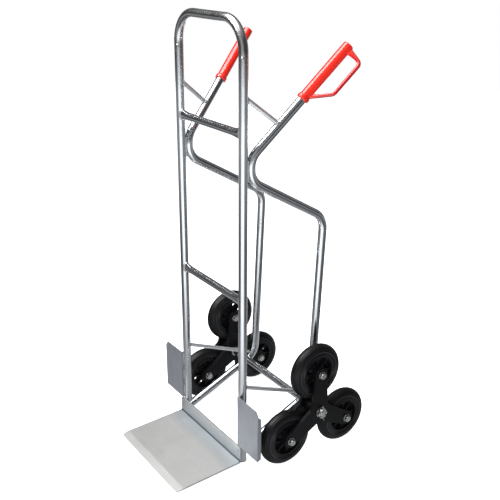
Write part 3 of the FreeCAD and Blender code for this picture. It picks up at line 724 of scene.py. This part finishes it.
def spaced(path, closed, step):
    """Points along a path at even steps, with their outward directions."""
    points = path + path[:1] if closed else path
    lengths = [0.0]
    for before, after in zip(points, points[1:]):
        lengths.append(lengths[-1] + (after[0] - before[0]).length)
    count = max(BEAD_SAMPLES, round(lengths[-1] / step))
    if closed:
        count -= count % BEAD_SAMPLES
    evenly, place = [], 0
    for k in range(count if closed else count + 1):
        at = lengths[-1] * k / count
        while place < len(lengths) - 2 and lengths[place + 1] < at:
            place += 1
        span = lengths[place + 1] - lengths[place]
        share = (at - lengths[place]) / span if span else 0.0
        spot = points[place][0].lerp(points[place + 1][0], share)
        outward = points[place][1].lerp(points[place + 1][1], share).normalized()
        evenly.append((spot, outward))
    return evenly


def lay_bead(build, path, closed, radius):
    """A weld bead along a path: overlapping ripples, flatter than they are wide."""
    spots = spaced(path, closed, BEAD_PITCH * MM / BEAD_SAMPLES)
    last = len(spots) - 1
    rings = []
    for k, (spot, outward) in enumerate(spots):
        after = spots[(k + 1) % len(spots)][0] if closed or k < last else spot
        before = spots[k - 1][0] if closed or k else spot
        along = (after - before).normalized()
        aside = along.cross(outward).normalized()
        ripple = math.sin(math.pi * ((k % BEAD_SAMPLES) + 0.5) / BEAD_SAMPLES)
        size = radius * MM * (BEAD_LOW + BEAD_RIPPLE * ripple)
        if not closed:
            size *= min(1.0, BEAD_END + BEAD_END_STEP * min(k, last - k))
        rings.append([build.verts.new(spot + aside * (BEAD_WIDTH * size * math.cos(turn))
                                      + outward * (BEAD_HEIGHT * size * math.sin(turn)))
                      for turn in turns(BEAD_SIDES)])
    skin(build, rings, closed)


def lay_saddle(build, point, heading, radius, post, post_heading, bead):
    """The bead round the end of a bar of the given radius where it meets a frame tube."""
    found = saddle(point, heading, radius * MM, post, post_heading, TUBE_R * MM)
    runs, closed = runs_of(found)
    for run in runs:
        lay_bead(build, run, closed, bead)


OVAL_POINTS = 72
CROSSBAR_BEAD = 2.6


def lay_oval(build, post, z):
    """The bead round a pressed cross tube's end, on the inner side of the right upright."""
    path = []
    for turn in turns(OVAL_POINTS):
        y = PRESSED_HALF_Y * math.cos(turn) * MM
        inward = Vector((-math.sqrt((TUBE_R * MM) ** 2 - y * y), y, 0.0))
        spot = Vector((post.x, post.y, z + PRESSED_HALF_Z * MM * math.sin(turn))) + inward
        outward = inward.normalized() + Vector((0.0, math.cos(turn), math.sin(turn)))
        path.append((spot, outward.normalized()))
    lay_bead(build, path, True, CROSSBAR_BEAD)


def lay_straight(build, x, y, low, high, outward, bead):
    """A straight bead up the side of an upright."""
    facing = Vector(outward).normalized()
    path = [(mm(x, y, z), facing) for z in (low, (low + high) / 2, high)]
    lay_bead(build, path, False, bead)


FOOT_BEAD = 3.0
HANDLE_STRUT_TOP = 1119.0
HANDLE_STRUT_SHARE = 0.295      # where it meets the handle, from the contact to the grip's end
HANDLE_STRUT_BEAD = 2.3
AXLE_STRUT_TOP = 263.0
AXLE_STRUT_END = mm(158.0, 144.47, 166.0)
AXLE_STRUT_BEAD = 2.0
# Straight beads: how far beside the upright's middle they run, and between which heights.
CONTACT_ASIDE, CONTACT_BEAD = 6.6, 2.8
CONTACT_LOW_GAP, CONTACT_HIGH_GAP = 2.0, 4.0    # from the ends of the contact
LIP_ASIDE, LIP_BACK, LIP_SLANT = 5.6, 0.6, -0.6
LIP_LOW, LIP_HIGH = 16.0, 60.0
WING_ASIDE, WING_FRONT, WING_FACING = 1.6, 0.4, (-0.4, -1.0, 0.0)
WING_WELDS = ((76.0, 112.0), (136.0, 168.0), (194.0, 230.0))
PLATE_BEAD = 2.0


def add_side_welds(side, sign):
    """The beads on one side of the frame, laid out on the right and mirrored for the left."""
    build = bmesh.new()
    post = centre("right_upright")
    post.z = 0.0
    x, y = post.x / MM, post.y / MM
    for bar in CROSSBARS:
        lay_oval(build, post, centre(bar).z)
    lay_saddle(build, FRAME_FOOT, FRAME_HEEL - FRAME_FOOT, TUBE_R, post, UP, FOOT_BEAD)
    strut_end = FRAME_CONTACT.lerp(FRAME_GRIP_END, HANDLE_STRUT_SHARE)
    strut_top = Vector((post.x, post.y, HANDLE_STRUT_TOP * MM))
    lay_saddle(build, strut_top, strut_end - strut_top, HANDLE_STRUT_R, post, UP,
               HANDLE_STRUT_BEAD)
    lay_saddle(build, strut_end, strut_top - strut_end, HANDLE_STRUT_R, FRAME_CONTACT,
               FRAME_GRIP_END - FRAME_CONTACT, HANDLE_STRUT_BEAD)
    brace_top = Vector((post.x, post.y, AXLE_STRUT_TOP * MM))
    lay_saddle(build, brace_top, AXLE_STRUT_END - brace_top, AXLE_STRUT_R, post, UP,
               AXLE_STRUT_BEAD)
    contact_low = FRAME_CONTACT_LOW.z / MM + CONTACT_LOW_GAP
    contact_high = FRAME_CONTACT.z / MM - CONTACT_HIGH_GAP
    for way in (-1.0, 1.0):
        lay_straight(build, x + way * CONTACT_ASIDE, y + TUBE_R, contact_low, contact_high,
                     (way, 0.0, 0.0), CONTACT_BEAD)
        lay_straight(build, x + way * LIP_ASIDE, y - TUBE_R + LIP_BACK, LIP_LOW, LIP_HIGH,
                     (way, LIP_SLANT, 0.0), PLATE_BEAD)
    for low, high in WING_WELDS:
        lay_straight(build, x + WING_ASIDE, y - TUBE_R - WING_FRONT, low, high, WING_FACING,
                     PLATE_BEAD)
    bmesh.ops.scale(build, verts=build.verts, vec=(sign, 1.0, 1.0))
    mesh = mesh_from(side + "_welds", build, MATERIALS["weld_bead"])
    add_piece(side + "_welds", mesh, "frame")


# ---------------------------------------------------------------- fastener details

# The outline of (x, r) of a locking collar, x from the trolley's middle.
NUT_COLLAR = ((273.2, 6.2), (275.0, 6.3), (275.4, 7.0), (275.2, 8.2), (274.3, 9.2), (273.2, 9.4))
COLLAR_SEGMENTS = 48
COLLAR_CREASE = 60.0


def add_nut_collars():
    """The round locking collar on the outer end of each wheel bolt's nut."""
    for side, sign in SIDES.items():
        for wheel in WHEELS:
            name = side + "_" + wheel + "_nut_collar"
            _, y, z = joints[side + "_" + wheel + "_wheel_roll"]["pos_m"]
            build = bmesh.new()
            lathe(build, [(sign * x, r) for x, r in NUT_COLLAR], COLLAR_SEGMENTS)
            mesh = mesh_from(name, build, MATERIALS["zinc"], sharp=COLLAR_CREASE)
            add_piece(name, mesh, side + "_star", place=(0.0, y, z))


# ---------------------------------------------------------------- camera and lights

CAMERA_AZIMUTH = 54.725
CAMERA_ELEVATION = 21.635
CAMERA_ROLL = 0.383
CAMERA_PLACE = Vector((1.7655, -1.1994, 1.4739))
CAMERA_LENS = 55.11
CAMERA_SENSOR = 36.0
CAMERA_REACH = 100.0


def add_camera():
    turn, lift = math.radians(CAMERA_AZIMUTH), math.radians(CAMERA_ELEVATION)
    ahead = Vector((-math.sin(turn) * math.cos(lift), math.cos(turn) * math.cos(lift),
                    -math.sin(lift)))
    level = Vector((math.cos(turn), math.sin(turn), 0.0))
    above = level.cross(ahead)
    roll = Matrix.Rotation(-math.radians(CAMERA_ROLL), 3, ahead)
    axes = Matrix((roll @ level, roll @ above, -(roll @ ahead))).transposed()
    camera = bpy.data.objects.new("camera", bpy.data.cameras.new("camera"))
    camera.data.lens = CAMERA_LENS
    camera.data.sensor_width = CAMERA_SENSOR
    camera.data.clip_end = CAMERA_REACH
    camera.matrix_world = Matrix.Translation(CAMERA_PLACE) @ axes.to_4x4()
    bpy.context.scene.collection.objects.link(camera)
    bpy.context.scene.camera = camera


# Each square light's name, place and width in metres, power in watts, and whether metal mirrors it.
SOFTBOXES = (
    ("key", (-1.0, -2.2, 3.2), 1.2, 90.0, True),
    ("top", (-0.4, -0.8, 3.3), 2.0, 90.0, True),
    ("fill", (2.4, -1.9, 1.5), 2.0, 50.0, False),
)
SOFTBOX_AIM = Vector((0.0, 0.0, 0.6))   # near the middle of the trolley


def add_softboxes():
    for name, place, width, power, mirrored_in_metal in SOFTBOXES:
        light = bpy.data.lights.new(name, "AREA")
        light.shape = "RECTANGLE"
        light.size = width
        light.size_y = width
        light.energy = power
        box = bpy.data.objects.new(name, light)
        box.visible_glossy = mirrored_in_metal
        box.location = place
        box.rotation_euler = (SOFTBOX_AIM - box.location).to_track_quat("-Z", "Y").to_euler()
        bpy.context.scene.collection.objects.link(box)


# ---------------------------------------------------------------- room and floor

# Each tall white panel of the studio: azimuth, half width and soft edge in degrees, brightness.
PANELS = ((35.0, 20.0, 14.0, 0.32), (185.0, 16.0, 12.0, 0.16), (240.0, 20.0, 20.0, 0.07))
# Between which sines of elevation the panels fade in and out, and the room turns to its ceiling.
PANEL_BOTTOM, PANEL_TOP = (-0.85, -0.75), (0.42, 0.72)
CEILING_RISE = (0.55, 0.95)
ROOM_GREY = 0.06
CEILING_GREY = 0.45
ROOM_TINT = (0.96, 0.98, 1.0)


def towards(azimuth):
    """The level direction at an azimuth, which is 0 towards -Y and 90 towards +X."""
    turn = math.radians(azimuth)
    return (math.sin(turn), -math.cos(turn), 0.0)


def cosine(angle):
    return math.cos(math.radians(angle))


def add_world():
    """A dark studio with tall white panels to reflect, white where the camera sees past it."""
    world = bpy.data.worlds.new("studio")
    world.use_nodes = True
    graph = Graph(world.node_tree)
    heading = graph.node("TexCoord").outputs["Generated"]
    level = graph.vector("NORMALIZE", graph.vector("MULTIPLY", heading, (1.0, 1.0, 0.0)))
    rise = graph.node("SeparateXYZ", {0: heading}).outputs["Z"]
    total = graph.ramp(rise, ROOM_GREY, CEILING_GREY, *CEILING_RISE, "SMOOTHSTEP")
    tall = graph.maths("MULTIPLY", graph.ramp(rise, 0.0, 1.0, *PANEL_BOTTOM),
                       graph.ramp(rise, 1.0, 0.0, *PANEL_TOP))
    for azimuth, half, soft, brightness in PANELS:
        facing = graph.measure("DOT_PRODUCT", level, towards(azimuth))
        panel = graph.ramp(facing, 0.0, brightness, cosine(half + soft), cosine(half),
                           "SMOOTHSTEP")
        total = graph.maths("ADD", total, graph.maths("MULTIPLY", panel, tall))
    room = world.node_tree.nodes["Background"]
    graph.put(room.inputs["Color"], opaque(ROOM_TINT))
    graph.put(room.inputs["Strength"], total)
    white = graph.node("Background", {"Color": opaque(WHITE)})
    seen = graph.node("LightPath").outputs["Is Camera Ray"]
    mix = graph.node("MixShader", {0: seen, 1: room.outputs[0], 2: white.outputs[0]})
    graph.put(world.node_tree.nodes["World Output"].inputs["Surface"], mix.outputs[0])
    bpy.context.scene.world = world


FLOOR_RADIUS = 7.0              # the floor's lengths are all in metres
FLOOR_DROP = 0.0005             # keeps it just below the wheels
FLOOR_SEGMENTS = 96
FLOOR_GLOW = 0.92
FLOOR_ROUGHNESS = 0.8
FLOOR_MOTTLE, FLOOR_MOTTLE_SCALE = (0.93, 0.96), 3.0
FLOOR_TINT = (0.95, 0.98, 1.0)
# What tubes mirror: a bright band of floor that runs this way, front and back, from these radii.
BAND_AZIMUTH = 47.0
BAND_HALF, BAND_SOFT = 31.0, 17.0
BAND_BRIGHTNESS = 1.5
BAND_START_R = (0.3, 1.2)
# The rest of it darkens over the first radii and lightens again a little over the second.
FLOOR_NEAR, FLOOR_FAR, FLOOR_DARKENS_R = 0.40, 0.12, (0.35, 1.15)
FLOOR_EDGE, FLOOR_LIGHTENS_R = 0.24, (1.9, 3.6)


def floor_shader():
    """White to look at; in reflections it is lit in one band and falls off elsewhere."""
    shader = Shader("floor_paint")
    mottle = shader.ramp(shader.noise(FLOOR_MOTTLE_SCALE), *FLOOR_MOTTLE)
    shader.set(Base_Color=shader.blend(mottle, BLACK, WHITE), Roughness=FLOOR_ROUGHNESS,
               Emission_Color=opaque(WHITE), Emission_Strength=FLOOR_GLOW)
    away = shader.measure("LENGTH", shader.place)
    heading = shader.vector("NORMALIZE", shader.place)
    along = shader.measure("DOT_PRODUCT", heading, towards(BAND_AZIMUTH))
    band = shader.ramp(shader.maths("ABSOLUTE", along), 0.0, BAND_BRIGHTNESS,
                       cosine(BAND_HALF + BAND_SOFT), cosine(BAND_HALF - BAND_SOFT),
                       "SMOOTHSTEP")
    band = shader.maths("MULTIPLY", band, shader.ramp(away, 0.0, 1.0, *BAND_START_R))
    rest = shader.ramp(away, FLOOR_NEAR, FLOOR_FAR, *FLOOR_DARKENS_R, "SMOOTHSTEP")
    rest = shader.maths("ADD", rest, shader.ramp(away, 0.0, FLOOR_EDGE, *FLOOR_LIGHTENS_R))
    met = shader.node("Emission", {"Color": opaque(FLOOR_TINT),
                                   "Strength": shader.maths("ADD", band, rest)})
    seen = shader.node("LightPath").outputs["Is Camera Ray"]
    mix = shader.node("MixShader", {0: seen, 1: met.outputs[0], 2: shader.surface.outputs[0]})
    shader.put(shader.tree.nodes["Material Output"].inputs["Surface"], mix.outputs[0])
    return shader.material


def add_floor():
    mesh = bpy.data.meshes.new("floor")
    build = bmesh.new()
    bmesh.ops.create_circle(build, cap_ends=True, radius=FLOOR_RADIUS, segments=FLOOR_SEGMENTS)
    build.to_mesh(mesh)
    build.free()
    mesh.materials.append(floor_shader())
    floor = bpy.data.objects.new("floor", mesh)
    floor.location.z = -FLOOR_DROP
    bpy.context.scene.collection.objects.link(floor)


# ---------------------------------------------------------------- the scene

dress_nodes()
add_camera()
add_world()
add_floor()
add_softboxes()
soften_nodes()
add_tyres()
add_rims()
add_grips()
add_nut_collars()
add_crossbars()
for side, sign in SIDES.items():
    add_side_welds(side, sign)
bpy.context.scene.view_settings.view_transform = "Standard"
